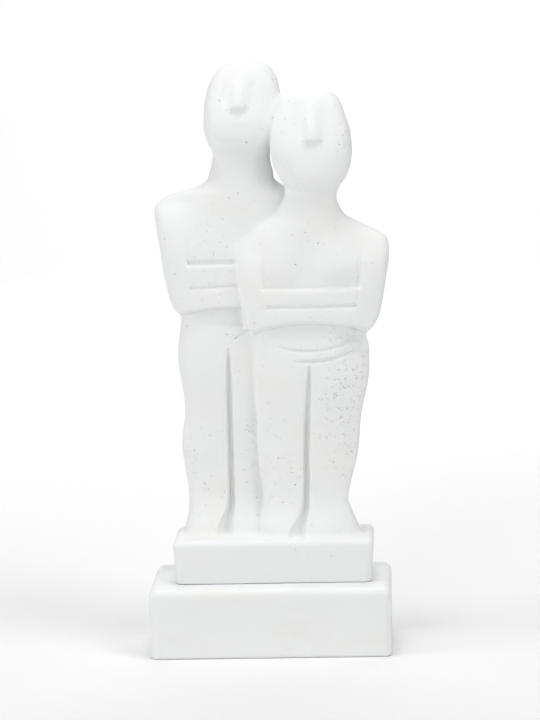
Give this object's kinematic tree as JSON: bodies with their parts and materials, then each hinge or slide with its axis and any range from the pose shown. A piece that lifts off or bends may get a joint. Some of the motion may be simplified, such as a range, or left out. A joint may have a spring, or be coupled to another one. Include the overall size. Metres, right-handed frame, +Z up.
{
  "type": "cycladic-style couple figurine",
  "caption": "Cast tabletop figurine of two standing figures with folded arms, fused side by side on a thin slab that rests on a plain plinth.",
  "frame": {"origin": "middle of the plinth's underside", "axes": "+Z up, +X to the viewer's right along the plinth's long side, +Y away from the viewer, so the figures face -Y"},
  "size_m": [0.0833, 0.041, 0.199],
  "materials": {
    "cast_alabaster": "matt cast alabaster with casting pinholes",
    "plinth_marble": "honed white marble"
  },
  "bodies": {
    "root": {"plinth": "plinth_marble", "couple_on_slab": "cast_alabaster"}
  },
  "joints": []
}
